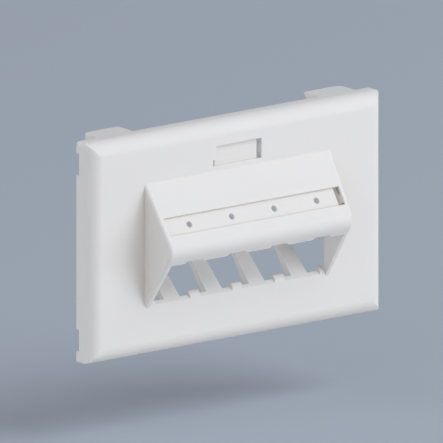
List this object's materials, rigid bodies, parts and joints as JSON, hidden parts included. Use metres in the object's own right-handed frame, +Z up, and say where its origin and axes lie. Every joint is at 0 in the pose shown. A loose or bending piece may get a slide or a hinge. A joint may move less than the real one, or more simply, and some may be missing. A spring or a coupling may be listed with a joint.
{
  "type": "sloped faceplate",
  "caption": "Wall plate with a hollow sloped hood whose open underside takes snap-in jacks, label recesses above and rear clip tabs.",
  "frame": {"origin": "centre of the plane of the back rim, which seats on the wall", "axes": "+X to the right seen from the front, +Y back into the wall, +Z up"},
  "size_m": [0.1142, 0.0269, 0.0698],
  "materials": {
    "moulding": "fine matt moulded surface"
  },
  "bodies": {
    "root": {"faceplate": "moulding"}
  },
  "joints": []
}
